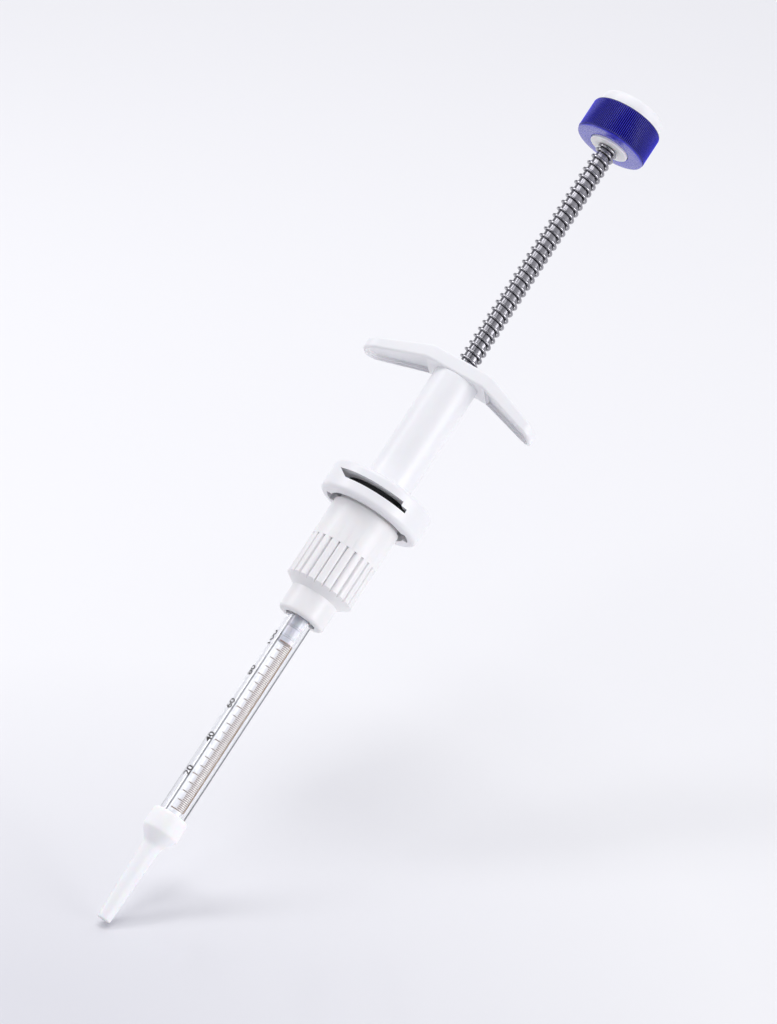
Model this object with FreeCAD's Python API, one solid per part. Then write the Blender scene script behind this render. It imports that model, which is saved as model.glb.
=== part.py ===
import FreeCAD, Part
import math
import os

# A hand-held dispensing syringe with a spring return. The axis is +Z and the outlet of its spout is at
# the origin. The wings of the finger grip lie along X, and the front faces -Y. Sizes are in millimetres.

# Scale of the barrel, which sets the stroke
scale_zero_z = 38.8
stroke = 60.0
piston_face_z = scale_zero_z + stroke

# Spout that pushes onto the lower end of the barrel
outlet_radius = 1.0
outlet_length = 7.0
spout_end_radius = 2.2
spout_neck_radius = 3.0
spout_neck_z = 26.4
bulb_radius = 5.9
bulb_bottom_z = 30.8
bulb_top_z = 37.3
socket_floor_z = 31.9
tip_seal_thickness = 1.0

# Glass barrel and what holds it in the collar
barrel_radius = 4.32
barrel_bore_radius = 2.3
barrel_bottom_z = socket_floor_z + tip_seal_thickness
barrel_top_z = 121.0
barrel_fit = 0.03
gasket_thickness = 1.2
bush_bottom_z = 112.5
bush_top_z = 117.0

# Collar: small lower cylinder, cone, reeded band, plain band, bayonet lugs and pilot
collar_bottom_z = 108.0
collar_mouth_radius = 5.05
collar_foot_radius = 7.8
cone_bottom_z = 116.3
cone_top_z = 118.8
collar_radius = 11.375
reed_count = 24
reed_root_radius = 10.55
reed_top_z = 132.6
collar_bore_radius = 3.9
collar_top_z = 149.9
coring_radii = (6.2, 9.6)
coring_floor_z = 124.0
pilot_radius = 5.15
pilot_top_z = 158.0
lug_radius = 14.2
lug_thickness = 1.45
lug_half_angle = 12.0

# Bayonet lock ring
ring_radius = 17.1
ring_bottom_z = 146.0
ring_top_z = 156.0
ring_hole_radius = 12.85
ring_lip_top_z = 148.2
ring_cavity_radius = 14.6
ring_ceiling_z = 152.9
entry_radius = 14.45
entry_half_angle = 14.5
stop_rib_angle = 6.5
stop_rib_gap = 1.5
window_bottom_z = 150.0
window_step_z = 151.3
window_top_z = 152.6
window_slant_low_x = -8.55
window_slant_high_x = -12.3
window_step_x = 10.5
window_right_x = 12.3
lock_gasket_radii = (8.6, 13.2)

# Handle tube and finger grip
tube_radius = 7.425
tube_bore_radius = 5.2
tube_throat_radius = 4.3
tube_step_z = 193.7
tube_lower_spigot_radius = 6.5
tube_upper_spigot_radius = 6.0
tube_upper_spigot_z = 200.3
spigot_fit = 0.03
grip_bottom_z = 197.3
grip_top_z = 202.2
grip_half_span = 30.4
grip_root_half_width = 7.5
grip_tip_half_width = 5.7
grip_kink_x = 10.1
wing_drop = 7.7
wing_tip_underside_z = 190.6
grip_edge_radius = 0.8
pocket_steps = ((1.0, 0.6), (1.7, 1.4))
pocket_start_x = 9.4

# Push rod, its guide, its swivel and the up stop
rod_radius = 2.5
rod_bottom_z = 184.6
rod_top_z = 295.0
rod_fit = 0.05
guide_bush_bottom_z = 189.7
seat_washer_thickness = 0.8
clip_thickness = 0.75
clip_radius = 3.5
clip_groove_radius = 2.0
clip_gap = 0.32
swivel_bore_radius = 1.85
swivel_bore_top_z = 187.4
swivel_nut_bottom_z = 182.8
swivel_gap = 0.3

# Piston and its rod
piston_radius = 2.27
piston_top_z = 111.0
piston_rod_radius = 1.5
piston_neck_radius = 1.2
piston_spigot_radius = 0.9
piston_spigot_z = 105.0
seal_bore_radius = 1.75
seal_height = 0.52
seal_heights = (101.0, 104.6)
seal_groove_radius = 1.74
seal_groove_width = 0.7

# Return spring, left-hand wound, with one closed turn at each end
wire_diameter = 0.8
wire_sides = 6
spring_radius = 3.1
spring_bottom_z = tube_step_z + seat_washer_thickness
spring_top_z = 286.9
spring_turns = 36.5
end_turn_pitch = 1.3

# Thumb knob
hub_face_z = spring_top_z
hub_stem_radius = 4.9
hub_neck_radius = 6.55
hub_flange_radius = 8.95
hub_flange_bottom_z = 290.2
hub_flange_top_z = 294.5
hub_top_z = 296.8
knob_bottom_z = 287.6
knob_top_z = 298.5
knob_radius = 11.9
knob_rim_radius = 11.75
knob_hole_radius = 6.7
knob_bore_radius = 9.0
flute_count = 120
flute_depth = 0.3
flute_bottom_z = 288.6
flute_top_z = 298.0
cap_radius = 10.6
cap_top_z = 302.7
cap_hollow_radius = 6.5
cap_hollow_top_z = 300.6
screw_head_radius = 2.8
screw_head_height = 1.5
screw_radius = 1.45
screw_bottom_z = 289.5


def rounded_wire(corners, place):
    """Closed outline through corners (u, v) or (u, v, radius), with an arc at each corner that has a radius."""
    spans = []
    count = len(corners)
    for i in range(count):
        before, here, after = corners[i - 1], corners[i], corners[(i + 1) % count]
        radius = here[2] if len(here) > 2 else 0.0
        if radius == 0.0:
            spans.append((here[:2], None, here[:2]))
            continue
        u1, v1 = before[0] - here[0], before[1] - here[1]
        u2, v2 = after[0] - here[0], after[1] - here[1]
        l1, l2 = math.hypot(u1, v1), math.hypot(u2, v2)
        u1, v1, u2, v2 = u1 / l1, v1 / l1, u2 / l2, v2 / l2
        half = math.acos(u1 * u2 + v1 * v2) / 2
        cut = radius / math.tan(half)
        bu, bv = u1 + u2, v1 + v2
        reach = (radius / math.sin(half) - radius) / math.hypot(bu, bv)
        start = (here[0] + u1 * cut, here[1] + v1 * cut)
        middle = (here[0] + bu * reach, here[1] + bv * reach)
        end = (here[0] + u2 * cut, here[1] + v2 * cut)
        spans.append((start, middle, end))
    edges = []
    for i in range(count):
        start, middle, end = spans[i]
        if middle:
            edges.append(Part.Arc(place(*start), place(*middle), place(*end)).toShape())
        following = spans[(i + 1) % count][0]
        if place(*end).distanceToPoint(place(*following)) > 1e-6:
            edges.append(Part.LineSegment(place(*end), place(*following)).toShape())
    return Part.Wire(edges)


def turned(corners):
    """Solid turned about Z from an outline of (radius, height) corners."""
    wire = rounded_wire(corners, lambda r, z: FreeCAD.Vector(r, 0, z))
    return Part.Face(wire).revolve(FreeCAD.Vector(0, 0, 0), FreeCAD.Vector(0, 0, 1), 360)


def ring(inner, outer, bottom, top):
    """Plain ring or washer between two radii and two heights."""
    return turned([(inner, bottom), (outer, bottom), (outer, top), (inner, top)])


def disc(radius, bottom, top):
    return Part.makeCylinder(radius, top - bottom, FreeCAD.Vector(0, 0, bottom))


def sector(inner, outer, bottom, top, middle_angle, half_angle):
    """Part of a ring, centred on middle_angle in degrees from +X."""
    flat = Part.Face(
        Part.makePolygon(
            [
                FreeCAD.Vector(inner, 0, bottom),
                FreeCAD.Vector(outer, 0, bottom),
                FreeCAD.Vector(outer, 0, top),
                FreeCAD.Vector(inner, 0, top),
                FreeCAD.Vector(inner, 0, bottom),
            ]
        )
    )
    flat.rotate(FreeCAD.Vector(0, 0, 0), FreeCAD.Vector(0, 0, 1), middle_angle - half_angle)
    return flat.revolve(FreeCAD.Vector(0, 0, 0), FreeCAD.Vector(0, 0, 1), 2 * half_angle)


def half_turned(shape):
    """Copy turned by half a turn about the axis."""
    copy = shape.copy()
    copy.rotate(FreeCAD.Vector(0, 0, 0), FreeCAD.Vector(0, 0, 1), 180)
    return copy


def dispensing_tip():
    """Spout and socket in one moulding, with the outlet bore widening upwards."""
    return turned(
        [
            (outlet_radius, 0),
            (spout_end_radius, 0),
            (spout_neck_radius, spout_neck_z, 3.0),
            (bulb_radius, bulb_bottom_z, 1.6),
            (bulb_radius - 0.1, bulb_top_z, 1.1),
            (barrel_radius + barrel_fit, bulb_top_z),
            (barrel_radius + barrel_fit, socket_floor_z),
            (barrel_bore_radius, socket_floor_z),
            (outlet_radius, outlet_length),
        ]
    )


def tip_seal():
    return ring(barrel_bore_radius, barrel_radius, socket_floor_z, barrel_bottom_z)


def glass_barrel():
    """Thick-walled glass tube, ground square at both ends."""
    return ring(barrel_bore_radius, barrel_radius, barrel_bottom_z, barrel_top_z)


def barrel_bush():
    return ring(barrel_radius + barrel_fit, collar_mouth_radius - barrel_fit, bush_bottom_z, bush_top_z)


def barrel_gasket():
    return ring(barrel_bore_radius, barrel_radius, barrel_top_z, barrel_top_z + gasket_thickness)


def reeded_band():
    """Prism of convex reeds that meet in sharp grooves."""
    step = 2 * math.pi / reed_count
    edges = []
    for i in range(reed_count):
        points = []
        for share, radius in ((0.0, reed_root_radius), (0.5, collar_radius), (1.0, reed_root_radius)):
            angle = (i + share) * step
            points.append(FreeCAD.Vector(radius * math.cos(angle), radius * math.sin(angle), cone_bottom_z))
        edges.append(Part.Arc(*points).toShape())
    face = Part.Face(Part.Wire(edges))
    return face.extrude(FreeCAD.Vector(0, 0, reed_top_z - cone_bottom_z))


def collar_body():
    """Moulded collar: the reeds run out on the cone below and stop square under the plain band above."""
    shape = turned(
        [
            (0, collar_bottom_z),
            (collar_foot_radius, collar_bottom_z, 1.1),
            (collar_foot_radius, cone_bottom_z),
            (collar_radius, cone_top_z),
            (collar_radius, collar_top_z),
            (pilot_radius, collar_top_z),
            (pilot_radius, pilot_top_z),
            (0, pilot_top_z),
        ]
    )
    skin = ring(reed_root_radius - 0.5, collar_radius + 2.0, cone_bottom_z, reed_top_z)
    shape = shape.cut(skin.cut(reeded_band()))
    for middle in (-90, 90):
        lug = sector(
            collar_radius - 1.0,
            lug_radius,
            collar_top_z - lug_thickness,
            collar_top_z,
            middle,
            lug_half_angle,
        )
        shape = shape.fuse(lug)
    pocket_radius = barrel_radius + barrel_fit
    shape = shape.cut(disc(collar_bore_radius, collar_bottom_z - 1, pilot_top_z + 1))
    shape = shape.cut(disc(pocket_radius, collar_bottom_z - 1, barrel_top_z + gasket_thickness))
    shape = shape.cut(disc(collar_mouth_radius, collar_bottom_z - 1, bush_top_z))
    shape = shape.cut(ring(coring_radii[0], coring_radii[1], coring_floor_z, collar_top_z + 1))
    return shape.removeSplitter()


def window_cutter():
    """Front window of the lock ring: its left end slants and its right end is stepped."""
    points = [
        (window_slant_low_x, window_bottom_z),
        (window_right_x, window_bottom_z),
        (window_right_x, window_step_z),
        (window_step_x, window_step_z),
        (window_step_x, window_top_z),
        (window_slant_high_x, window_top_z),
        (window_slant_low_x, window_bottom_z),
    ]
    wall = Part.Face(Part.makePolygon([FreeCAD.Vector(x, -6.0, z) for x, z in points]))
    return wall.extrude(FreeCAD.Vector(0, -ring_radius, 0))


def lock_ring():
    """Bayonet ring: lip with two entry notches, stop ribs on the lip, and a window in the front and back walls."""
    shape = turned(
        [
            (ring_hole_radius, ring_bottom_z),
            (ring_radius, ring_bottom_z, 1.5),
            (ring_radius, ring_top_z, 1.4),
            (tube_lower_spigot_radius + spigot_fit, ring_top_z),
            (tube_lower_spigot_radius + spigot_fit, ring_ceiling_z),
            (ring_cavity_radius, ring_ceiling_z),
            (ring_cavity_radius, ring_lip_top_z),
            (ring_hole_radius, ring_lip_top_z),
        ]
    )
    for side in (0, 180):
        notch = sector(
            ring_hole_radius - 1.0,
            entry_radius,
            ring_bottom_z - 1.0,
            ring_lip_top_z + 0.5,
            side,
            entry_half_angle,
        )
        shape = shape.cut(notch)
        locked_stop = side - 90 - lug_half_angle - stop_rib_gap - stop_rib_angle / 2
        open_stop = side + entry_half_angle + stop_rib_gap + stop_rib_angle / 2
        for middle in (locked_stop, open_stop):
            rib = sector(
                ring_hole_radius,
                ring_cavity_radius + 0.5,
                ring_lip_top_z - 0.5,
                collar_top_z,
                middle,
                stop_rib_angle / 2,
            )
            shape = shape.fuse(rib)
    window = window_cutter()
    shape = shape.cut(window)
    shape = shape.cut(half_turned(window))
    return shape.removeSplitter()


def lock_gasket():
    return ring(lock_gasket_radii[0], lock_gasket_radii[1], collar_top_z + 0.1, ring_ceiling_z)


def handle_tube():
    """Tube with a spigot at each end. Its bore narrows to a throat that carries the guide bush from below."""
    return turned(
        [
            (tube_bore_radius, ring_ceiling_z),
            (tube_lower_spigot_radius, ring_ceiling_z),
            (tube_lower_spigot_radius, ring_top_z),
            (tube_radius, ring_top_z),
            (tube_radius, grip_bottom_z),
            (tube_upper_spigot_radius, grip_bottom_z),
            (tube_upper_spigot_radius, tube_upper_spigot_z),
            (tube_throat_radius, tube_upper_spigot_z),
            (tube_throat_radius, tube_step_z),
            (tube_bore_radius, tube_step_z),
        ]
    )


def wing_plan(inset):
    """Plan outline of the grip, drawn in by inset, from below everything to above everything."""
    span = grip_half_span - inset
    tip = grip_tip_half_width - inset
    root = grip_root_half_width - inset
    corners = [
        (-span, -tip, tip - 0.6),
        (-grip_kink_x, -root, 12.0),
        (grip_kink_x, -root, 12.0),
        (span, -tip, tip - 0.6),
        (span, tip, tip - 0.6),
        (grip_kink_x, root, 12.0),
        (-grip_kink_x, root, 12.0),
        (-span, tip, tip - 0.6),
    ]
    low = wing_tip_underside_z - 10.0
    wire = rounded_wire(corners, lambda x, y: FreeCAD.Vector(x, y, low))
    return Part.Face(wire).extrude(FreeCAD.Vector(0, 0, grip_top_z + 10.0 - low))


def gull_profile(top_points, bottom_points):
    """Solid between an upper and a lower gull-wing line, wide enough for any plan."""
    corners = top_points + bottom_points
    wire = rounded_wire(corners, lambda x, z: FreeCAD.Vector(x, -10.0, z))
    return Part.Face(wire).extrude(FreeCAD.Vector(0, 20.0, 0))


def finger_grip():
    """Gull-wing finger grip with a stepped pocket under each wing and a seat for the tube."""
    out = grip_half_span + 1.0
    slope_top = wing_drop / (grip_half_span - grip_kink_x)
    tip_top = grip_top_z - wing_drop - slope_top
    top = [(-out, tip_top), (-grip_kink_x, grip_top_z, 9.0), (grip_kink_x, grip_top_z, 9.0), (out, tip_top)]
    bottom = [
        (out, wing_tip_underside_z),
        (grip_kink_x, grip_bottom_z, 9.0),
        (-grip_kink_x, grip_bottom_z, 9.0),
        (-out, wing_tip_underside_z),
    ]
    shape = gull_profile(top, bottom).common(wing_plan(0.0))
    shape = shape.makeFillet(grip_edge_radius, shape.Edges)
    for inset, depth in pocket_steps:
        ceiling = [(u, v + depth) for u, v, *_ in bottom]
        floor_z = wing_tip_underside_z - 5.0
        under = gull_profile(ceiling, [(-out, floor_z), (out, floor_z)])
        pocket = under.common(wing_plan(inset))
        keep_out = Part.makeBox(2 * pocket_start_x + 2 * inset, 40, 60)
        keep_out.translate(FreeCAD.Vector(-pocket_start_x - inset, -20, floor_z - 10))
        shape = shape.cut(pocket.cut(keep_out))
    shape = shape.cut(disc(tube_upper_spigot_radius + spigot_fit, grip_bottom_z - 1, tube_upper_spigot_z))
    shape = shape.cut(disc(tube_throat_radius, grip_bottom_z - 1, grip_top_z + 1))
    return shape.removeSplitter()


def guide_bush():
    """Plain bearing of the push rod, held against the step in the tube."""
    return ring(rod_radius + rod_fit, tube_bore_radius - spigot_fit, guide_bush_bottom_z, tube_step_z)


def seat_washer():
    return ring(rod_radius + 0.2, tube_throat_radius - 0.1, tube_step_z, spring_bottom_z)


def tangent_arc(start, control, end):
    """Arc from start to end whose end tangents meet at control."""
    middle = (start + end) * 0.5
    half_chord = (end - start).Length / 2
    height = (control - middle).Length
    lean = math.atan2(height, half_chord)
    crown = middle + (control - middle) * (math.tan(lean / 2) / math.tan(lean))
    return Part.Arc(start, crown, end).toShape()


def biarc(p0, t0, p1, t1):
    """Two arcs that leave p0 along t0, meet smoothly, and arrive at p1 along t1."""
    chord = p1 - p0
    both = t0 + t1
    spread = 2 * (1 - t0.dot(t1))
    along = chord.dot(both)
    reach = (-along + math.sqrt(along * along + spread * chord.dot(chord))) / spread
    control_0 = p0 + t0 * reach
    control_1 = p1 - t1 * reach
    meet = (control_0 + control_1) * 0.5
    return [tangent_arc(p0, control_0, meet), tangent_arc(meet, control_1, p1)]


def spring_heights():
    """Height of the centre line at each half turn: a closed turn at each end and an even pitch between."""
    wire_radius = wire_diameter / 2
    low = spring_bottom_z + wire_radius
    high = spring_top_z - wire_radius
    open_turns = spring_turns - 2
    open_pitch = (high - low - 2 * end_turn_pitch) / open_turns
    heights = [low]
    half_turns = int(round(2 * spring_turns))
    for i in range(half_turns):
        closed = i < 2 or i >= half_turns - 2
        heights.append(heights[-1] + (end_turn_pitch if closed else open_pitch) / 2)
    return heights


def least_gap(points, wire, per_turn):
    """Smallest free distance of the wire to itself, between points at least half a turn apart."""
    least = 1e9
    for i, a in enumerate(points):
        for b in points[i + per_turn // 2 : i + 2 * per_turn]:
            least = min(least, a.distanceToPoint(b))
    return least - wire


def return_spring():
    """One unbroken wire along biarcs of half a turn. Its section is a hexagon as high as the round wire."""
    heights = spring_heights()
    states = []
    for i, z in enumerate(heights):
        before = heights[max(i - 1, 0)]
        after = heights[min(i + 1, len(heights) - 1)]
        steps = 2 if 0 < i < len(heights) - 1 else 1
        angle = -math.pi * i
        point = FreeCAD.Vector(spring_radius * math.cos(angle), spring_radius * math.sin(angle), z)
        way = FreeCAD.Vector(
            math.pi * spring_radius * math.sin(angle),
            -math.pi * spring_radius * math.cos(angle),
            (after - before) / steps,
        )
        states.append((point, way.normalize()))
    edges = []
    for (p0, t0), (p1, t1) in zip(states, states[1:]):
        edges.extend(biarc(p0, t0, p1, t1))
    path = Part.Wire(edges)
    start, way = states[0]
    outward = FreeCAD.Vector(1, 0, 0)
    upward = outward.cross(way).normalize()
    corner_radius = wire_diameter / 2 / math.sin(math.pi / 3)
    corners = []
    for i in range(wire_sides + 1):
        turn = 2 * math.pi * i / wire_sides
        corners.append(start + (outward * math.cos(turn) + upward * math.sin(turn)) * corner_radius)
    section = Part.makePolygon(corners)
    pipe = Part.BRepOffsetAPI.MakePipeShell(path)
    pipe.add(section)
    pipe.build()
    pipe.makeSolid()
    per_turn = 24
    points = path.discretize(Number=int(per_turn * spring_turns) + 1)
    print("spring: length", round(path.Length, 1), "least gap", round(least_gap(points, wire_diameter, per_turn), 2))
    return pipe.shape()


def push_rod():
    """Steel rod: swivel bore and clip groove at the lower end, tapped bore at the top."""
    clip_top_z = guide_bush_bottom_z - clip_gap
    clip_bottom_z = clip_top_z - clip_thickness
    return turned(
        [
            (swivel_bore_radius, rod_bottom_z),
            (rod_radius, rod_bottom_z),
            (rod_radius, clip_bottom_z),
            (clip_groove_radius, clip_bottom_z),
            (clip_groove_radius, clip_top_z),
            (rod_radius, clip_top_z),
            (rod_radius, rod_top_z),
            (screw_radius, rod_top_z),
            (screw_radius, screw_bottom_z),
            (0, screw_bottom_z),
            (0, swivel_bore_top_z),
            (swivel_bore_radius, swivel_bore_top_z),
        ]
    )


def rod_clip():
    """Open retaining clip that stops the rod under the guide bush."""
    clip_top_z = guide_bush_bottom_z - clip_gap
    clip_bottom_z = clip_top_z - clip_thickness
    shape = ring(clip_groove_radius, clip_radius, clip_bottom_z, clip_top_z)
    mouth = Part.makeBox(2.6, clip_radius + 1, clip_thickness + 2)
    mouth.translate(FreeCAD.Vector(-1.3, 0, clip_bottom_z - 1))
    return shape.cut(mouth)


def swivel_nut():
    """Nut on the end of the push rod that holds the head of the piston rod, and lets it turn."""
    return ring(piston_neck_radius + rod_fit, rod_radius, swivel_nut_bottom_z, rod_bottom_z)


def piston_rod():
    return turned(
        [
            (0, piston_spigot_z),
            (piston_spigot_radius, piston_spigot_z),
            (piston_spigot_radius, piston_top_z),
            (piston_rod_radius, piston_top_z),
            (piston_rod_radius, swivel_nut_bottom_z - swivel_gap),
            (piston_neck_radius, swivel_nut_bottom_z - swivel_gap),
            (piston_neck_radius, rod_bottom_z + swivel_gap),
            (swivel_bore_radius - 0.1, rod_bottom_z + swivel_gap),
            (swivel_bore_radius - 0.1, swivel_bore_top_z - swivel_gap),
            (0, swivel_bore_top_z - swivel_gap),
        ]
    )


def piston_head():
    """Piston with two seal grooves and a blind bore for its rod."""
    shape = turned(
        [
            (0, piston_face_z),
            (piston_radius, piston_face_z),
            (piston_radius, piston_top_z),
            (0, piston_top_z),
        ]
    )
    shape = shape.cut(disc(piston_spigot_radius, piston_spigot_z, piston_top_z + 1))
    for z in seal_heights:
        groove = ring(seal_groove_radius, piston_radius + 1, z - seal_groove_width / 2, z + seal_groove_width / 2)
        shape = shape.cut(groove)
    return shape


def piston_seals():
    rings = []
    for z in seal_heights:
        rings.append(ring(seal_bore_radius, piston_radius, z - seal_height / 2, z + seal_height / 2))
    return Part.makeCompound(rings)


def knob_hub():
    """Core of the knob: its face stands proud of the ring, shows round the rod and carries the spring."""
    return turned(
        [
            (rod_radius + 0.02, hub_face_z),
            (hub_neck_radius, hub_face_z),
            (hub_neck_radius, hub_flange_bottom_z),
            (hub_flange_radius, hub_flange_bottom_z),
            (hub_flange_radius, hub_flange_top_z),
            (hub_stem_radius, hub_flange_top_z),
            (hub_stem_radius, hub_top_z),
            (screw_radius + 0.15, hub_top_z),
            (screw_radius + 0.15, rod_top_z),
            (rod_radius + 0.02, rod_top_z),
        ]
    )


def fluted_band():
    """Prism with fine V flutes all round."""
    step = 2 * math.pi / flute_count
    points = []
    for i in range(flute_count):
        for share, radius in ((0.0, knob_radius), (0.5, knob_radius - flute_depth)):
            angle = (i + share) * step
            points.append(FreeCAD.Vector(radius * math.cos(angle), radius * math.sin(angle), flute_bottom_z))
    points.append(points[0])
    face = Part.Face(Part.makePolygon(points))
    return face.extrude(FreeCAD.Vector(0, 0, flute_top_z - flute_bottom_z))


def knob_ring():
    """Fluted grip ring with plain rounded rims, open at the top for the hub and the cap."""
    core = turned(
        [
            (0, knob_bottom_z),
            (knob_rim_radius, knob_bottom_z, 0.5),
            (knob_rim_radius, flute_bottom_z),
            (knob_radius - 1.0, flute_bottom_z),
            (knob_radius - 1.0, flute_top_z),
            (knob_rim_radius, flute_top_z),
            (knob_rim_radius, knob_top_z, 0.4),
            (0, knob_top_z),
        ]
    )
    shape = core.fuse(fluted_band())
    shape = shape.cut(disc(knob_hole_radius, knob_bottom_z - 1, knob_top_z + 1))
    shape = shape.cut(disc(knob_bore_radius, hub_flange_bottom_z, knob_top_z + 1))
    return shape.removeSplitter()


def thumb_cap():
    """Cap with a rounded edge and a skirt that plugs into the knob ring."""
    return turned(
        [
            (0, cap_hollow_top_z),
            (cap_hollow_radius, cap_hollow_top_z),
            (cap_hollow_radius, hub_flange_top_z),
            (hub_flange_radius, hub_flange_top_z),
            (hub_flange_radius, knob_top_z),
            (cap_radius, knob_top_z),
            (cap_radius, cap_top_z, 1.2),
            (0, cap_top_z),
        ]
    )


def hub_screw():
    """Cheese-head screw with a cross-cut slot, which ties the hub to the rod."""
    head_top_z = hub_top_z + screw_head_height
    shape = turned(
        [
            (0, screw_bottom_z + 0.2),
            (screw_radius - 0.02, screw_bottom_z + 0.2),
            (screw_radius - 0.02, hub_top_z),
            (screw_head_radius, hub_top_z),
            (screw_head_radius, head_top_z),
            (0, head_top_z),
        ]
    )
    for turn in (0, 90):
        slot = Part.makeBox(3.2, 0.6, 1.0, FreeCAD.Vector(-1.6, -0.3, head_top_z - 0.8))
        slot.rotate(FreeCAD.Vector(0, 0, 0), FreeCAD.Vector(0, 0, 1), turn)
        shape = shape.cut(slot)
    return shape


def main():
    os.makedirs("parts", exist_ok=True)
    makers = [
        dispensing_tip,
        tip_seal,
        glass_barrel,
        barrel_bush,
        barrel_gasket,
        collar_body,
        lock_ring,
        lock_gasket,
        handle_tube,
        finger_grip,
        guide_bush,
        seat_washer,
        return_spring,
        push_rod,
        rod_clip,
        swivel_nut,
        piston_rod,
        piston_head,
        piston_seals,
        knob_hub,
        knob_ring,
        thumb_cap,
        hub_screw,
    ]
    for maker in makers:
        shape = maker()
        solids = len(shape.Solids)
        print(maker.__name__, "solids", solids, "valid", shape.isValid(), "volume", round(shape.Volume, 1))
        shape.exportStep("parts/" + maker.__name__ + ".step")


main()
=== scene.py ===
import bpy
import bmesh
import math
from mathutils import Matrix, Vector


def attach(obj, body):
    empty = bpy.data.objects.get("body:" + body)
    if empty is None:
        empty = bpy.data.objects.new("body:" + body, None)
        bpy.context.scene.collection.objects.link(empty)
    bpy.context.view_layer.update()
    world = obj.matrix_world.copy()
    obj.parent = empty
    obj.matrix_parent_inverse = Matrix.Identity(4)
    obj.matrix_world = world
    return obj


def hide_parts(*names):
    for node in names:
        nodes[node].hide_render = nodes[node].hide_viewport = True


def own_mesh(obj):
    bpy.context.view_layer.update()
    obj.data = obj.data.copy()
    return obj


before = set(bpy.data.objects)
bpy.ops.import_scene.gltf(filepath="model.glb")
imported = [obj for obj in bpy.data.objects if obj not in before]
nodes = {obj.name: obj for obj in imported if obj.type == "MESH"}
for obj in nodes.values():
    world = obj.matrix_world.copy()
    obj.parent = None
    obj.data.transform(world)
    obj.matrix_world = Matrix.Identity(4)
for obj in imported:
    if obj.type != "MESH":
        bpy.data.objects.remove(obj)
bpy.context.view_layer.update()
scene = bpy.context.scene
mm = 0.001
hair = 0.001  # in mm, more than single precision loses
print("frame loaded,", len(nodes), "CAD nodes")


def hexColour(text):
    # sRGB hex to the linear values that the shaders take
    values = []
    for start in (1, 3, 5):
        part = int(text[start:start + 2], 16) / 255
        values.append(part / 12.92 if part <= 0.04045 else ((part + 0.055) / 1.055) ** 2.4)
    return (*values, 1.0)


def addNode(tree, kind, settings=None, links=None):
    node = tree.nodes.new(kind)
    for name, value in (settings or {}).items():
        if isinstance(name, str) and name not in node.inputs:
            setattr(node, name, value)
        else:
            node.inputs[name].default_value = value
    for name, source in (links or {}).items():
        tree.links.new(source, node.inputs[name])
    return node


def newMaterial(name, fixed):
    material = bpy.data.materials.new(name)
    material.use_nodes = True
    shader = material.node_tree.nodes["Principled BSDF"]
    for socket, value in fixed.items():
        shader.inputs[socket].default_value = value
    return material, material.node_tree, shader


def wearSurface(tree, shader, look, tint, grain):
    # the colour drifts with one noise, the gloss and the relief follow the finer one
    noiseLow, noiseHigh = 0.3, 0.7  # nearly all of a noise lies between these
    colour = addNode(
        tree,
        "ShaderNodeMix",
        {"data_type": "RGBA", 6: hexColour(look["colour"]), 7: hexColour(look["drift"])},
        {0: tint.outputs[0]},
    )
    rough = addNode(
        tree,
        "ShaderNodeMapRange",
        {"From Min": noiseLow, "From Max": noiseHigh,
         "To Min": look["gloss"][0], "To Max": look["gloss"][1]},
        {"Value": grain.outputs[0]},
    )
    relief = addNode(
        tree,
        "ShaderNodeBump",
        {"Strength": look["relief"], "Distance": look["depth"] * mm},
        {"Height": grain.outputs[0]},
    )
    tree.links.new(colour.outputs[2], shader.inputs["Base Color"])
    tree.links.new(rough.outputs[0], shader.inputs["Roughness"])
    tree.links.new(relief.outputs[0], shader.inputs["Normal"])


def mouldedPlastic(name, look, fixed):
    # clouded colour from the flow of the melt, and the fine skin that a blasted mould leaves
    material, tree, shader = newMaterial(name, fixed)
    place = addNode(tree, "ShaderNodeTexCoord").outputs["Object"]
    cloud, grain = (
        addNode(tree, "ShaderNodeTexNoise", {"Scale": 1 / (look[size] * mm), "Detail": detail},
                {"Vector": place})
        for size, detail in (("cloud", 2.0), ("grain", 3.0))
    )
    wearSurface(tree, shader, {"depth": 0.02, **look}, cloud, grain)
    return material


def turnedSteel(name, look, fixed):
    # fine lines round the axis from grinding, seen as a slight break-up of the reflection
    material, tree, shader = newMaterial(name, fixed)
    place = addNode(tree, "ShaderNodeTexCoord").outputs["Object"]
    across, along = (1 / (size * mm) for size in look["line"])
    squeezed = addNode(tree, "ShaderNodeMapping", {"Scale": (across, across, along)}, {"Vector": place})
    lines = addNode(tree, "ShaderNodeTexNoise", {"Scale": 1.0, "Detail": 2.0},
                    {"Vector": squeezed.outputs[0]})
    wearSurface(tree, shader, {"depth": 0.01, **look}, lines, lines)
    return material


# ABS from a satin mould: soft wide highlights, a cool white that picks up the studio's lavender
absWhite = mouldedPlastic(
    "absSatinWhite",
    {"colour": "#efeff1", "drift": "#eaeaed", "cloud": 9.0, "grain": 0.35,
     "gloss": (0.32, 0.40), "relief": 0.10},
    {"IOR": 1.53, "Subsurface Weight": 0.06, "Subsurface Scale": 0.6 * mm},
)
# acetal, moulded: a plainer white than the shell's, and waxier
acetalWarm = mouldedPlastic(
    "acetalWarmWhite",
    {"colour": "#f1f0f1", "drift": "#ecebec", "cloud": 7.0, "grain": 0.3,
     "gloss": (0.30, 0.38), "relief": 0.12},
    {"IOR": 1.48, "Subsurface Weight": 0.08, "Subsurface Scale": 0.8 * mm},
)
# low density polythene, moulded: light goes well into it, so edges glow and the gloss is faint
polytheneMatt = mouldedPlastic(
    "polytheneMattWhite",
    {"colour": "#fafafc", "drift": "#f6f6fa", "cloud": 5.0, "grain": 0.25,
     "gloss": (0.48, 0.56), "relief": 0.14},
    {"IOR": 1.51, "Subsurface Weight": 0.35, "Subsurface Scale": 1.5 * mm},
)
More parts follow.
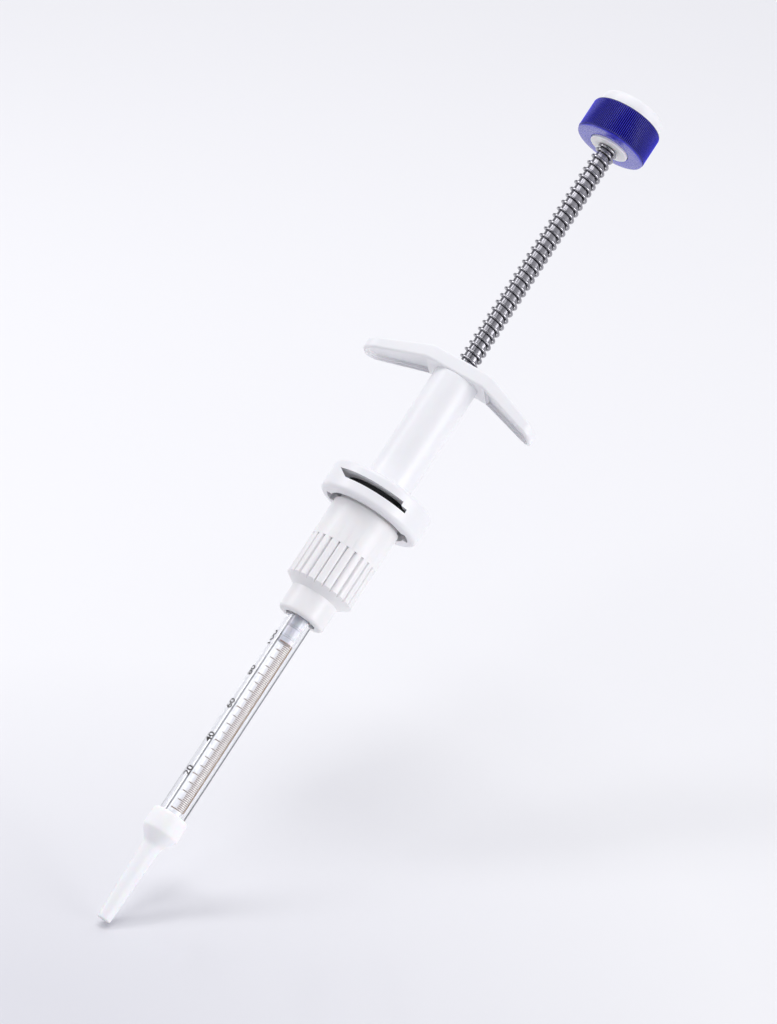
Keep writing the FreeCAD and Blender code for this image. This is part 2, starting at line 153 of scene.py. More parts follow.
# PTFE, turned: milky, with a greasy half-gloss
ptfeMilky = mouldedPlastic(
    "ptfeTurned",
    {"colour": "#c2c2cc", "drift": "#b9b9c4", "cloud": 2.0, "grain": 0.2,
     "gloss": (0.40, 0.50), "relief": 0.10},
    {"IOR": 1.38, "Subsurface Weight": 0.3, "Subsurface Scale": 1.0 * mm},
)
# nitrile rubber: nearly black and dull
nitrileBlack = mouldedPlastic(
    "nitrileRubberBlack",
    {"colour": "#0c0c0e", "drift": "#131316", "cloud": 3.0, "grain": 0.2,
     "gloss": (0.65, 0.80), "relief": 0.3},
    {"IOR": 1.52},
)
# ABS dyed ultramarine; shadeFlutes below adds painted shade deep in the flutes and a painted highlight
# on the crests
absUltramarine = mouldedPlastic(
    "absUltramarine",
    {"colour": "#1c1ac4", "drift": "#1816b4", "cloud": 6.0, "grain": 0.3,
     "gloss": (0.24, 0.30), "relief": 0.03},
    {"IOR": 1.54, "Specular IOR Level": 0.26, "Coat Roughness": 0.2},
)


def shadeFlutes(material, band):
    # painted shade makes the colour nearly black between the flutes and on the rims, and a painted
    # highlight makes the crests bright; band is in mm
    tree = material.node_tree
    shader = tree.nodes["Principled BSDF"]
    plain = shader.inputs["Base Color"].links[0].from_socket
    place = addNode(tree, "ShaderNodeTexCoord").outputs["Object"]
    flat = addNode(tree, "ShaderNodeVectorMath", {"operation": "MULTIPLY", 1: (1, 1, 0)}, {0: place})
    radius = addNode(tree, "ShaderNodeVectorMath", {"operation": "LENGTH"}, {0: flat.outputs[0]})
    heights = addNode(tree, "ShaderNodeSeparateXYZ", None, {0: place})
    paintedShadeMask, paintedHighlightMask, below = (
        addNode(tree, "ShaderNodeMapRange", {"From Min": start * mm, "From Max": end * mm},
                {"Value": value})
        for start, end, value in (
            (band["valley"], band["crest"], radius.outputs["Value"]),
            (band["crest"] - band["highlightBand"], band["crest"], radius.outputs["Value"]),
            (band["low"], band["low"] - band["fade"], heights.outputs["Z"]),
        )
    )
    valley = addNode(tree, "ShaderNodeMix", {"data_type": "RGBA", 6: hexColour(band["paintedValleyShade"])},
                     {0: paintedShadeMask.outputs[0], 7: plain})
    crest = addNode(tree, "ShaderNodeMix", {"data_type": "RGBA", 7: hexColour(band["paintedCrestHighlight"])},
                    {0: paintedHighlightMask.outputs[0], 6: valley.outputs[2]})
    whole = addNode(tree, "ShaderNodeMix", {"data_type": "RGBA"},
                    {0: below.outputs[0], 6: crest.outputs[2], 7: plain})
    tree.links.new(whole.outputs[2], shader.inputs["Base Color"])
    tree.links.new(below.outputs[0], shader.inputs["Coat Weight"])  # the flat underside is polished


# painted shade in the flutes and on the rims, painted highlight on the crests
shadeFlutes(absUltramarine, {"valley": 11.66, "crest": 11.90, "highlightBand": 0.07, "low": 287.95, "fade": 0.1,
                             "paintedValleyShade": "#040230", "paintedCrestHighlight": "#5856f0"})
# stainless rod, centreless ground: a mirror that is blurred along the rod
steelGround = turnedSteel(
    "stainlessGround",
    {"colour": "#908f94", "drift": "#828187", "line": (2.5, 0.12),
     "gloss": (0.16, 0.26), "relief": 0.10},
    {"Metallic": 1.0},
)
# spring wire, hard drawn and polished: brighter and smoother than the rod
steelDrawn = turnedSteel(
    "springWireDrawn",
    {"colour": "#a3a2a6", "drift": "#949398", "line": (0.5, 0.5),
     "gloss": (0.12, 0.20), "relief": 0.06},
    {"Metallic": 1.0},
)


def drawnGlass(name, look, fixed):
    # clear through, with the long faint waves that drawing leaves in a tube
    material, tree, shader = newMaterial(name, fixed)
    place = addNode(tree, "ShaderNodeTexCoord").outputs["Object"]
    across, along = (1 / (look[size] * mm) for size in ("wave", "draw"))
    drawn = addNode(tree, "ShaderNodeMapping", {"Scale": (across, across, along)}, {"Vector": place})
    waves = addNode(tree, "ShaderNodeTexNoise", {"Scale": 1.0, "Detail": 1.0},
                    {"Vector": drawn.outputs[0]})
    bend = addNode(tree, "ShaderNodeBump", {"Strength": look["bend"], "Distance": look["depth"] * mm},
                   {"Height": waves.outputs[0]})
    rough = addNode(tree, "ShaderNodeMapRange", {"To Min": 0.0, "To Max": look["rough"]},
                    {"Value": waves.outputs[0]})
    tree.links.new(rough.outputs[0], shader.inputs["Roughness"])
    tree.links.new(bend.outputs[0], shader.inputs["Normal"])
    return material


# borosilicate tube, drawn: bright edges, and dark lines where it bends the sides of the room in
borosilicate = drawnGlass(
    "borosilicateDrawn",
    {"wave": 3.0, "draw": 40.0, "bend": 0.05, "depth": 0.01, "rough": 0.01},
    {"Base Color": hexColour("#fbfcfe"), "IOR": 1.474, "Transmission Weight": 0.97},
)


def firedInk(name, look, fixed):
    # ceramic ink fired on: flat colour, uneven where the screen laid it thin
    material, tree, shader = newMaterial(name, fixed)
    place = addNode(tree, "ShaderNodeTexCoord").outputs["Object"]
    patchy = addNode(tree, "ShaderNodeTexNoise", {"Scale": 1 / (look["patch"] * mm), "Detail": 2.0},
                     {"Vector": place})
    colour = addNode(
        tree,
        "ShaderNodeMix",
        {"data_type": "RGBA", 6: hexColour(look["colour"]), 7: hexColour(look["thin"])},
        {0: patchy.outputs[0]},
    )
    tree.links.new(colour.outputs[2], shader.inputs["Base Color"])
    return material


# the lines are fired amber, and the numbers a brown that is nearly black
inkAmber = firedInk("ceramicInkAmber", {"colour": "#684200", "thin": "#7c5606", "patch": 0.8},
                    {"Roughness": 0.5})
inkBrown = firedInk("ceramicInkBrown", {"colour": "#120a05", "thin": "#1c120a", "patch": 0.8},
                    {"Roughness": 0.5})
print("materials made")


def smoothShade(mesh, sharpFrom):
    # edges that bend more than sharpFrom degrees stay sharp
    mesh.polygons.foreach_set("use_smooth", [True] * len(mesh.polygons))
    mesh.set_sharp_from_angle(angle=math.radians(sharpFrom))


def addPiece(name, mesh, material, body, replaced=(), sharpFrom=32):
    mesh.materials.append(material)
    smoothShade(mesh, sharpFrom)
    piece = bpy.data.objects.new(name, mesh)
    scene.collection.objects.link(piece)
    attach(piece, body)
    if replaced:
        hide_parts(*replaced)
    return piece


def finishMesh(name, work):
    bmesh.ops.recalc_face_normals(work, faces=work.faces[:])
    mesh = bpy.data.meshes.new(name)
    work.to_mesh(mesh)
    work.free()
    return mesh


def roundedOutline(corners, steps=6):
    # corners are (radius, height) in mm, or (radius, height, rounding)
    points = []
    for i, corner in enumerate(corners):
        here = Vector(corner[:2])
        if len(corner) < 3:
            points.append(tuple(here))
            continue
        toBefore = (Vector(corners[i - 1][:2]) - here).normalized()
        toAfter = (Vector(corners[(i + 1) % len(corners)][:2]) - here).normalized()
        half = toBefore.angle(toAfter) / 2
        centre = here + (toBefore + toAfter).normalized() * (corner[2] / math.sin(half))
        first = here + toBefore * (corner[2] / math.tan(half)) - centre
        last = here + toAfter * (corner[2] / math.tan(half)) - centre
        sweep = first.angle(last)
        for k in range(steps + 1):
            share = k / steps
            arm = first * math.sin((1 - share) * sweep) + last * math.sin(share * sweep)
            points.append(tuple(centre + arm / math.sin(sweep)))
    return points


def turnedMesh(name, outline, columns=96, shape=None):
    # a closed outline in mm carried round Z; shape(radius, height, turn) may change a radius
    work = bmesh.new()
    rings = []
    for radius, height in outline:
        ring = []
        for k in range(1 if radius < hair else columns):  # one point where it meets the axis
            turn = 2 * math.pi * k / columns
            r = shape(radius, height, turn) if shape else radius
            ring.append(work.verts.new((r * math.cos(turn) * mm, r * math.sin(turn) * mm, height * mm)))
        rings.append(ring)
    for i, lower in enumerate(rings):
        upper = rings[(i + 1) % len(rings)]
        if len(lower) == 1 and len(upper) == 1:
            continue
        for k in range(columns):
            n = (k + 1) % columns
            corners = [lower[k % len(lower)], lower[n % len(lower)],
                       upper[n % len(upper)], upper[k % len(upper)]]
            work.faces.new(list(dict.fromkeys(corners)))
    return finishMesh(name, work)


def bandOutline(band):
    # a plain ring's four corners, each with the same rounding
    return roundedOutline([(band[radius], band[height], band["edge"]) for radius, height in (
        ("inner", "low"), ("outer", "low"), ("outer", "high"), ("inner", "high"))])


# the spout: a long taper, a soft flare and a socket with a rolled rim
spout = {"outlet": 1.0, "end": 2.2, "neck": 3.0, "neckZ": 26.4, "bulb": 5.9, "bulbZ": 30.8,
         "rim": 5.8, "topZ": 37.3, "socket": 4.35, "socketZ": 31.9, "funnel": 2.3, "funnelZ": 7.0}
spoutOutline = roundedOutline([
    (spout["outlet"], 0, 0.3),
    (spout["end"], 0, 0.55),
    (spout["neck"], spout["neckZ"], 3.0),
    (spout["bulb"], spout["bulbZ"], 1.6),
    (spout["rim"], spout["topZ"], 1.1),
    (spout["socket"], spout["topZ"]),
    (spout["socket"], spout["socketZ"]),
    (spout["funnel"], spout["socketZ"]),
    (spout["outlet"], spout["funnelZ"]),
])
addPiece("spoutPolythene", turnedMesh("spout", spoutOutline, 72), polytheneMatt, "cartridge",
         ["dispensing_tip"])
print("spout")

# the glass barrel, with fire-polished ends
glass = {"outer": 4.32, "inner": 2.3, "low": 32.9, "high": 121.0, "edge": 0.35}
glassPiece = addPiece("barrelGlass", turnedMesh("barrelGlass", bandOutline(glass)), borosilicate,
                      "cartridge", ["glass_barrel"])
glassPiece.visible_shadow = False  # clear glass lets the lamps through to the piston

# the printed scale: 100 divisions from a line down the barrel, with a number at every 20
# lengths are in mm, and turns are degrees from the front towards +X
scale = {
    "zero": 38.8, "division": 0.6, "count": 100, "radius": 4.335, "line": 53.0, "tick": 0.26,
    "lineWidth": 0.3, "ends": {1: 17.0, 5: 0.0, 10: -3.0, 20: -9.0}, "patch": 5.0,
}
numbers = {
    "height": 2.8, "width": 1.65, "weight": 0.02, "slices": 8,
    "turns": {20: -35.0, 40: -38.0, 60: -45.0, 80: -53.0, 100: -60.0},
}


def scalePoint(turn, height):
    a = math.radians(turn)
    r = scale["radius"] * mm
    return (r * math.sin(a), -r * math.cos(a), height * mm)


def addPatch(work, turnA, turnB, lowZ, highZ):
    # a printed strip that follows the glass
    steps = max(1, int(abs(turnB - turnA) / scale["patch"]))
    rows = []
    for k in range(steps + 1):
        turn = turnA + (turnB - turnA) * k / steps
        rows.append([work.verts.new(scalePoint(turn, z)) for z in (lowZ, highZ)])
    for (a, b), (c, d) in zip(rows, rows[1:]):
        work.faces.new((a, c, d, b))


work = bmesh.new()
lineHalf = math.degrees(scale["lineWidth"] / 2 / scale["radius"])
lineEdges = scale["line"] - lineHalf, scale["line"] + lineHalf
addPatch(work, *lineEdges, scale["zero"], scale["zero"] + scale["count"] * scale["division"])
for mark in range(scale["count"] + 1):
    end = [turn for every, turn in scale["ends"].items() if mark % every == 0][-1]
    z = scale["zero"] + mark * scale["division"]
    addPatch(work, end, lineEdges[0], z - scale["tick"] / 2, z + scale["tick"] / 2)
addPiece("scaleTicks", finishMesh("scaleTicks", work), inkAmber, "cartridge")


def addNumber(text, height, turned):
    # plain digits reading up the barrel, wrapped on to the glass
    curve = bpy.data.curves.new("digits", "FONT")
    curve.body = text
    curve.align_x = "CENTER"
    curve.align_y = "CENTER"
    curve.offset = numbers["weight"]
    holder = bpy.data.objects.new("digits", curve)
    scene.collection.objects.link(holder)
    bpy.context.view_layer.update()
    flat = bpy.data.meshes.new_from_object(holder)
    bpy.data.objects.remove(holder)
    work = bmesh.new()
    work.from_mesh(flat)
    xs = [v.co.x for v in work.verts]
    ys = [v.co.y for v in work.verts]
    wide = numbers["width"] * len(text)
    for v in work.verts:
        v.co.x = (v.co.x - (min(xs) + max(xs)) / 2) * wide / (max(xs) - min(xs))
        v.co.y = (v.co.y - (min(ys) + max(ys)) / 2) * numbers["height"] / (max(ys) - min(ys))
    for k in range(1, numbers["slices"]):  # cut across, so that the digits can bend
        cut = numbers["height"] * (k / numbers["slices"] - 0.5)
        bmesh.ops.bisect_plane(work, geom=work.verts[:] + work.edges[:] + work.faces[:],
                               plane_co=(0, cut, 0), plane_no=(0, 1, 0))
    for v in work.verts:
        turn = turned - math.degrees(v.co.y / scale["radius"])
        v.co = scalePoint(turn, height + v.co.x)
    name = "scaleNumber" + text
    addPiece(name, finishMesh(name, work), inkBrown, "cartridge")


for number, turned in numbers["turns"].items():  # the row leans away to the left as it rises
    addNumber(str(number), scale["zero"] + number * scale["division"], turned)
print("glass barrel and scale")

# the piston: milky, with two seal rings that stand in grooves
piston = {"radius": 2.27, "low": 98.8, "high": 111.0, "edge": 0.25, "groove": 1.74, "grooveHalf": 0.35}
seal = {"heights": (101.0, 104.6), "half": 0.26, "inner": 1.76, "edge": 0.2}
pistonCorners = [(0, piston["low"]), (piston["radius"], piston["low"], piston["edge"])]
for z in seal["heights"]:
    low, high = z - piston["grooveHalf"], z + piston["grooveHalf"]
    pistonCorners += [(piston["radius"], low), (piston["groove"], low),
                      (piston["groove"], high), (piston["radius"], high)]
pistonCorners += [(piston["radius"], piston["high"], piston["edge"]), (0, piston["high"])]
addPiece("pistonHead", turnedMesh("pistonHead", roundedOutline(pistonCorners), 64), ptfeMilky,
         "plunger", ["piston_head"])
for i, z in enumerate(seal["heights"]):
    ringOutline = bandOutline({**seal, "outer": piston["radius"], "low": z - seal["half"],
                               "high": z + seal["half"]})
    addPiece("pistonSeal%d" % (i + 1), turnedMesh("pistonSeal", ringOutline, 64), ptfeMilky,
             "plunger", ["piston_seals"])

# the collar: a band of low-crowned reeds with sharp grooves between them, which run out on the cone
collar = {
    "mouth": 5.05, "sleeve": 7.8, "lowZ": 108.0, "coneLow": 116.3, "coneHigh": 118.8, "coneSteps": 10,
    "reeds": 24, "columns": 336, "root": 10.4, "crest": 11.375, "crown": 0.22, "land": 0.68,
    "reedTop": 132.6, "relief": 145.7, "reliefRadius": 10.2, "shoulder": 149.9,
    "neck": 5.15, "topZ": 158.0, "rodWay": 3.9, "seat": 4.35, "seatLow": 117.0, "seatHigh": 122.2,
}
lug = {"inner": 9.8, "outer": 14.2, "low": 148.45, "high": 149.9, "half": 12.0, "steps": 12,
       "middles": (-90, 90)}
halfReed = math.pi / collar["reeds"]


def reedShape(radius, height, turn):
    if height > collar["reedTop"] + hair:
        return radius
    off = abs((turn % (2 * halfReed)) - halfReed) / halfReed
    land = collar["crest"] - collar["crown"] * off * off
    side = max(0.0, (off - collar["land"]) / (1 - collar["land"]))  # 0 on the land, 1 in the groove
    return min(radius, land - (land - collar["root"]) * side)


collarCorners = [(collar["mouth"], collar["lowZ"], 0.25), (collar["sleeve"], collar["lowZ"], 1.1),
                 (collar["sleeve"], collar["coneLow"])]
for k in range(1, collar["coneSteps"]):
    share = k / collar["coneSteps"]
    collarCorners.append((collar["sleeve"] + (collar["crest"] - collar["sleeve"]) * share,
                          collar["coneLow"] + (collar["coneHigh"] - collar["coneLow"]) * share))
collarCorners += [
    (collar["crest"], collar["coneHigh"]),
    (collar["crest"], collar["coneHigh"] + 0.3),
    (collar["crest"], collar["reedTop"] - 0.1),
    (collar["crest"], collar["reedTop"]),
    (collar["crest"], collar["reedTop"] + 0.02),  # the reeds end in a step
    (collar["crest"], collar["relief"], 0.12),
    (collar["reliefRadius"], collar["relief"]),
    (collar["reliefRadius"], collar["shoulder"], 0.3),
    (collar["neck"], collar["shoulder"]),
    (collar["neck"], collar["topZ"], 0.4),
    (collar["rodWay"], collar["topZ"]),
    (collar["rodWay"], collar["seatHigh"]),
    (collar["seat"], collar["seatHigh"]),
    (collar["seat"], collar["seatLow"]),
    (collar["mouth"], collar["seatLow"]),
]
work = bmesh.new()
work.from_mesh(turnedMesh("collar", roundedOutline(collarCorners), collar["columns"], reedShape))
for middle in lug["middles"]:
    rows = []
    for k in range(lug["steps"] + 1):
        a = math.radians(middle + lug["half"] * (2 * k / lug["steps"] - 1))
        rows.append([work.verts.new((r * math.cos(a) * mm, r * math.sin(a) * mm, z * mm)) for r, z in (
            (lug["inner"], lug["low"]), (lug["outer"], lug["low"]),
            (lug["outer"], lug["high"]), (lug["inner"], lug["high"]))])
    for before, after in zip(rows, rows[1:]):
        for i in range(4):
            work.faces.new((before[i], before[(i + 1) % 4], after[(i + 1) % 4], after[i]))
    work.faces.new(rows[0])
    work.faces.new(rows[-1])
addPiece("collarReeded", finishMesh("collarReeded", work), acetalWarm, "cartridge",
         ["collar_body"], 28)
print("piston and collar")

# the lock's gasket, set well back, so that the window shows the white ceiling over a black seat; the
# black seat is partly the real gasket and partly painted shade for the shadowed cavity
gasket = {"inner": 8.6, "outer": 11.2, "low": 150.0, "high": 152.9}
gasketOutline = roundedOutline([
    (gasket["inner"], gasket["low"]),
    (gasket["outer"], gasket["low"], 0.3),
    (gasket["outer"], gasket["high"]),
    (gasket["inner"], gasket["high"]),
])
addPiece("lockGasketSeatAndShade", turnedMesh("lockGasket", gasketOutline), nitrileBlack, "handle",
         ["lock_gasket"])

# the return spring: one left-hand wire with a closed, ground turn at each end
spring = {"radius": 3.1, "wire": 0.8, "low": 194.5, "high": 286.9, "turns": 36.5, "endPitch": 1.3,
          "closed": 0.85, "ease": 0.3, "steps": 40, "sides": 14}


def springHeights():
    # the pitch is small over the closed turn at each end, and then eases to the open one
    openRise = spring["high"] - spring["low"] - spring["wire"] - 2 * spring["endPitch"]
    openPitch = openRise / (spring["turns"] - 2)
    heights = [spring["low"] + spring["wire"] / 2]
    count = int(spring["turns"] * spring["steps"])
    for k in range(count):
        near = min(k, count - 1 - k) / spring["steps"]
        blend = min(1.0, max(0.0, (near - spring["closed"]) / spring["ease"]))
        blend = blend * blend * (3 - 2 * blend)
        pitch = spring["endPitch"] + (openPitch - spring["endPitch"]) * blend
        heights.append(heights[-1] + pitch / spring["steps"])
    stretch = (spring["high"] - spring["wire"] / 2 - heights[0]) / (heights[-1] - heights[0])
    return [heights[0] + (h - heights[0]) * stretch for h in heights]


def springMesh():
    work = bmesh.new()
    heights = springHeights()
    sides = spring["sides"]
    rings = []
    for k, z in enumerate(heights):
        turn = -2 * math.pi * k / spring["steps"]
        out = Vector((math.cos(turn), math.sin(turn), 0))
        rise = (heights[min(k + 1, len(heights) - 1)] - heights[max(k - 1, 0)]) / 2
        way = Vector((math.sin(turn), -math.cos(turn), 0))
        way = way * (2 * math.pi * spring["radius"] / spring["steps"])
        way = (way + Vector((0, 0, rise))).normalized()
        side = way.cross(out)
        centre = out * spring["radius"] + Vector((0, 0, z))
        ring = []
        for i in range(sides):
            a = 2 * math.pi * i / sides
            point = centre + (out * math.cos(a) + side * math.sin(a)) * (spring["wire"] / 2)
            ring.append(work.verts.new(point * mm))
        rings.append(ring)
    for before, after in zip(rings, rings[1:]):
        for i in range(sides):
            n = (i + 1) % sides
            work.faces.new((before[i], before[n], after[n], after[i]))
    work.faces.new(rings[0])
    work.faces.new(rings[-1])
    return finishMesh("returnSpring", work)


springPiece = addPiece("returnSpringWire", springMesh(), steelDrawn, "handle",
                       ["return_spring"], 50)
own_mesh(springPiece)

# the push rod, ground all along, with a groove for its clip and a threaded hole at each end
rod = {"radius": 2.5, "low": 184.6, "high": 295.0, "edge": 0.2, "groove": 2.0, "clipLow": 188.62,
       "clipHigh": 189.37, "swivelHole": 1.85, "swivelTop": 187.4, "screwHole": 1.45, "screwLow": 289.5}
rodOutline = roundedOutline([
    (rod["swivelHole"], rod["low"]),
    (rod["radius"], rod["low"], rod["edge"]),
    (rod["radius"], rod["clipLow"]),
    (rod["groove"], rod["clipLow"]),
    (rod["groove"], rod["clipHigh"]),
    (rod["radius"], rod["clipHigh"]),
    (rod["radius"], rod["high"], rod["edge"]),
    (rod["screwHole"], rod["high"]),
    (rod["screwHole"], rod["screwLow"]),
    (0, rod["screwLow"]),
    (0, rod["swivelTop"]),
    (rod["swivelHole"], rod["swivelTop"]),
])
addPiece("pushRodSteel", turnedMesh("pushRod", rodOutline, 64), steelGround, "knob",
         ["push_rod"])
print("spring and rod")

# the thumb knob's ring: 120 fine flutes between plain rounded rims
knob = {"low": 287.6, "high": 298.5, "rim": 11.75, "crest": 11.9, "depth": 0.34, "round": 0.8,
        "flutes": 120, "columns": 720, "fluteLow": 288.6, "fluteHigh": 298.0, "runOut": 0.12,
        "hole": 6.7, "recess": 9.0, "recessZ": 290.2}


def fluteShape(radius, height, turn):
    if radius < knob["rim"] - hair or not knob["fluteLow"] < height < knob["fluteHigh"]:
        return radius
    share = (turn * knob["flutes"] / (2 * math.pi)) % 1.0
    return knob["crest"] - knob["depth"] * (0.5 - 0.5 * math.cos(2 * math.pi * share)) ** knob["round"]


knobOutline = roundedOutline([
    (knob["hole"], knob["low"], 0.2),
    (knob["rim"], knob["low"], 0.5),
    (knob["rim"], knob["fluteLow"]),
    (knob["rim"], knob["fluteLow"] + knob["runOut"]),
    (knob["rim"], knob["fluteHigh"] - knob["runOut"]),
    (knob["rim"], knob["fluteHigh"]),
    (knob["rim"], knob["high"], 0.4),
    (knob["recess"], knob["high"]),
    (knob["recess"], knob["recessZ"]),
    (knob["hole"], knob["recessZ"]),
])
addPiece("knobRingFluted", turnedMesh("knobRing", knobOutline, knob["columns"], fluteShape),
         absUltramarine, "knob", ["knob_ring"], 40)

# the hub: a flat white face round the rod, a flange in the ring's recess and a boss for the screw
hub = {"rodWay": 2.52, "face": 6.55, "faceZ": 286.9, "flange": 8.95, "flangeTop": 294.5,
       "boss": 4.9, "bossTop": 296.8, "screwWay": 1.6, "edge": 0.3}
hubOutline = roundedOutline([
    (hub["rodWay"], hub["faceZ"]),
    (hub["face"], hub["faceZ"], hub["edge"]),
    (hub["face"], knob["recessZ"]),
    (hub["flange"], knob["recessZ"]),
    (hub["flange"], hub["flangeTop"]),
    (hub["boss"], hub["flangeTop"]),
    (hub["boss"], hub["bossTop"], hub["edge"]),
    (hub["screwWay"], hub["bossTop"]),
    (hub["screwWay"], rod["high"]),
    (hub["rodWay"], rod["high"]),
])
addPiece("knobHub", turnedMesh("knobHub", hubOutline), acetalWarm, "knob",
         ["knob_hub"])

# the thumb cap: a low rounded disc with a skirt that snaps into the ring
cap = {"radius": 10.6, "top": 302.7, "rimRound": 1.2, "hollow": 6.5, "hollowTop": 300.6}
capOutline = roundedOutline([
    (0, cap["hollowTop"]),
    (cap["hollow"], cap["hollowTop"], 0.5),
    (cap["hollow"], hub["flangeTop"]),
    (hub["flange"], hub["flangeTop"], 0.2),
    (hub["flange"], knob["high"]),
    (cap["radius"], knob["high"], 0.15),
    (cap["radius"], cap["top"], cap["rimRound"]),
    (0, cap["top"]),
])
addPiece("thumbCap", turnedMesh("thumbCap", capOutline), absWhite, "knob",
         ["thumb_cap"])
print("knob")

# CAD nodes that stay as they are, each with the finish of the real piece
shownFinishes = {
    "lock_ring": absWhite, "handle_tube": absWhite, "finger_grip": absWhite,
    "barrel_bush": nitrileBlack, "barrel_gasket": nitrileBlack, "tip_seal": nitrileBlack,
    "guide_bush": ptfeMilky, "seat_washer": steelDrawn, "rod_clip": steelDrawn,
    "swivel_nut": steelGround, "piston_rod": steelGround, "hub_screw": steelGround,
}
# CAD nodes that a piece above stands for
replacedFinishes = {
    "lock_gasket": nitrileBlack, "dispensing_tip": polytheneMatt, "glass_barrel": borosilicate,
    "piston_head": ptfeMilky, "piston_seals": ptfeMilky, "collar_body": acetalWarm,
    "return_spring": steelDrawn, "push_rod": steelGround, "knob_ring": absUltramarine,
    "knob_hub": acetalWarm, "thumb_cap": absWhite,
}
for name, material in {**shownFinishes, **replacedFinishes}.items():
    mesh = nodes[name].data
    mesh.materials.clear()
    mesh.materials.append(material)
    if name in shownFinishes:
        smoothShade(mesh, 25)
print("CAD nodes finished")

# the camera looks up the tilted syringe, so the picture's floor is tilted in this frame
# lengths are in mm, and the aim is a height on the axis and a step to the right of it
view = {"azimuth": 15.0, "distance": 1143.5, "height": -111.0, "aim": (151.0, 4.6), "roll": 33.2,
        "lens": 135.35, "sensor": 36.0}
azimuth = math.radians(view["azimuth"])
rightFlat = Vector((math.cos(azimuth), math.sin(azimuth), 0))
cameraPlace = Vector((view["distance"] * math.sin(azimuth), -view["distance"] * math.cos(azimuth),
                      view["height"])) * mm
target = (Vector((0, 0, view["aim"][0])) + rightFlat * view["aim"][1]) * mm
back = (cameraPlace - target).normalized()
rightPlain = Vector((0, 0, 1)).cross(back).normalized()
upPlain = back.cross(rightPlain)
roll = math.radians(view["roll"])
right = rightPlain * math.cos(roll) + upPlain * math.sin(roll)
up = upPlain * math.cos(roll) - rightPlain * math.sin(roll)


def setUp(thing, across, upright, away, place):
    # puts a camera or lamp at a place, looking against away
    scene.collection.objects.link(thing)
    thing.matrix_world = Matrix((across, upright, away)).transposed().to_4x4()
    thing.location = place


def squareTo(away):
    across = upPlain.cross(away).normalized()
    return across, away.cross(across)


cameraData = bpy.data.cameras.new("camera")
cameraData.lens = view["lens"]
cameraData.sensor_width = view["sensor"]
cameraData.clip_end = 50.0
camera = bpy.data.objects.new("camera", cameraData)
setUp(camera, right, up, back, cameraPlace)
scene.camera = camera

# the floor passes 1.8 mm under the spout's end, and the camera looks down on it by 28 degrees
# near, corner and reach set a painted shade at the near left corner of the floor
floor = {"normal": (-0.306, -0.727, 0.616), "drop": 1.8 * mm, "half": 6.0, "colour": "#f2f2f3",
         "shade": "#efeff1", "near": "#dedee3", "corner": (-0.03, -0.06), "reach": (0.03, 0.22)}
floorNormal = Vector(floor["normal"]).normalized()
floorRight = (right - floorNormal * right.dot(floorNormal)).normalized()
floorAway = floorNormal.cross(floorRight)


def addBoard(name, centre, across, upright, halfWide, halfHigh, material):
    # a flat board of the studio that faces the way of across x upright
    work = bmesh.new()
    work.faces.new([work.verts.new(centre + across * a * halfWide + upright * b * halfHigh)
                    for a, b in ((-1, -1), (1, -1), (1, 1), (-1, 1))])
    mesh = bpy.data.meshes.new(name)
    work.to_mesh(mesh)
    work.free()
    mesh.materials.append(material)
    board = bpy.data.objects.new(name, mesh)
    scene.collection.objects.link(board)
    return board


# painted board: nearly even, with a faint gloss that takes the object's reflection
floorMaterial, tree, shader = newMaterial("paintedBoard", {"Roughness": 0.16, "IOR": 1.35})
place = addNode(tree, "ShaderNodeTexCoord").outputs["Object"]
mottle = addNode(tree, "ShaderNodeTexNoise", {"Scale": 3.0, "Detail": 1.0}, {"Vector": place})
floorColour = addNode(
    tree,
    "ShaderNodeMix",
    {"data_type": "RGBA", 6: hexColour(floor["colour"]), 7: hexColour(floor["shade"])},
    {0: mottle.outputs[0]},
)
# painted shade: the board's colour is darker in a soft pool at the near left corner
paintedShadeCentre = floorRight * floor["corner"][0] + floorAway * floor["corner"][1]
fromPaintedShade = addNode(tree, "ShaderNodeVectorMath", {"operation": "DISTANCE", 1: paintedShadeCentre},
                     {0: place})
outsideShadePool = addNode(
    tree,
    "ShaderNodeMapRange",
    {"From Min": floor["reach"][0], "From Max": floor["reach"][1]},
    {"Value": fromPaintedShade.outputs["Value"]},
)
floorWhole = addNode(tree, "ShaderNodeMix", {"data_type": "RGBA", 6: hexColour(floor["near"])},
                     {0: outsideShadePool.outputs[0], 7: floorColour.outputs[2]})
tree.links.new(floorWhole.outputs[2], shader.inputs["Base Color"])
# from behind the floor is clear, so every side of the object can be seen
whichSide = addNode(tree, "ShaderNodeNewGeometry")
clear = addNode(tree, "ShaderNodeBsdfTransparent")
oneSided = addNode(tree, "ShaderNodeMixShader", None, {
    0: whichSide.outputs["Backfacing"], 1: shader.outputs[0], 2: clear.outputs[0]})
tree.links.new(oneSided.outputs[0], tree.nodes["Material Output"].inputs["Surface"])
addBoard("studioFloor", -floorNormal * floor["drop"], floorRight, floorAway, floor["half"],
         floor["half"], floorMaterial)

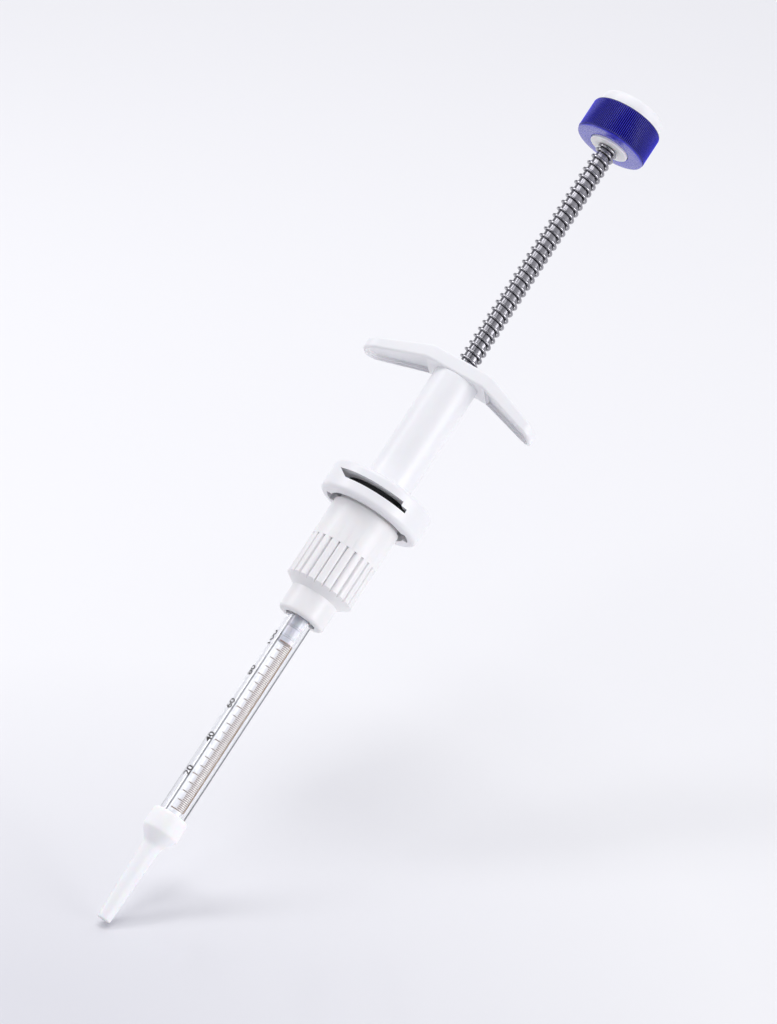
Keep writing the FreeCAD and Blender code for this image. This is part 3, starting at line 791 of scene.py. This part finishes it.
# studio light: a narrow strip on the left, a wide soft panel on the right and a soft top
# the panel shines through the floor's clear back, so it lights the object and not the floor
middle = Vector((0, 0, 0.155))
lamps = {
    "stripLeft": {"from": -rightPlain * 0.95 + back * 0.12 + upPlain * 0.1, "far": 1.1,
                  "size": (0.22, 1.2), "power": 4.0},
    "panelRight": {"from": rightPlain * 0.95 + back * 0.62 + upPlain * 0.02, "far": 1.3,
                   "size": (0.9, 1.3), "power": 19.0},
    "softTop": {"from": up * 1.0 + back * 0.35, "far": 1.4, "size": (1.0, 1.0), "power": 7.6},
}
for name, lamp in lamps.items():
    data = bpy.data.lights.new(name, "AREA")
    data.shape = "RECTANGLE"
    data.size, data.size_y = lamp["size"]
    data.energy = lamp["power"]
    away = lamp["from"].normalized()
    setUp(bpy.data.objects.new(name, data), *squareTo(away), away, middle + away * lamp["far"])

# grey cards, off camera, give steel, glass and gloss their darker bands
cards = {
    "cardFront": {"from": back * 1.0 - rightPlain * 0.30, "size": (0.5, 1.2), "grey": "#4c4b55"},
    "cardRight": {"from": -back * 0.35 + rightPlain * 1.0, "size": (0.3, 1.2), "grey": "#55545f"},
    "cardLeft": {"from": -back * 0.55 - rightPlain * 1.0, "size": (0.3, 1.2), "grey": "#55545f"},
}
cardsFar = 0.9
for name, card in cards.items():
    away = card["from"].normalized()
    cardMaterial, tree, shader = newMaterial("greyCard", {"Roughness": 0.9,
                                                          "Base Color": hexColour(card["grey"])})
    halfWide, halfHigh = (size / 2 for size in card["size"])
    board = addBoard(name, middle + away * cardsFar, *squareTo(away), halfWide, halfHigh, cardMaterial)
    board.visible_camera = False
    board.visible_diffuse = name == "cardFront"  # this one also takes light off the front left
    board.visible_shadow = False

# the room: a plain grey light, and a pale studio to the eye, in gloss and through glass
room = {"light": "#e1e1e8", "strength": 0.775, "seen": "#f5f5f9"}
world = bpy.data.worlds.new("studio")
scene.world = world
world.use_nodes = True
tree = world.node_tree
tree.nodes.clear()
ambient = addNode(tree, "ShaderNodeBackground", {"Color": hexColour(room["light"]),
                                                 "Strength": room["strength"]})
pale = addNode(tree, "ShaderNodeBackground", {"Color": hexColour(room["seen"]), "Strength": 1.0})
rays = addNode(tree, "ShaderNodeLightPath")
seen = rays.outputs["Is Camera Ray"]
for kind in ("Is Glossy Ray", "Is Transmission Ray"):
    seen = addNode(tree, "ShaderNodeMath", {"operation": "MAXIMUM"},
                   {0: seen, 1: rays.outputs[kind]}).outputs[0]
either = addNode(tree, "ShaderNodeMixShader", None,
                 {0: seen, 1: ambient.outputs[0], 2: pale.outputs[0]})
addNode(tree, "ShaderNodeOutputWorld", None, {"Surface": either.outputs[0]})
scene.view_settings.view_transform = "Standard"
print("camera, floor and light")
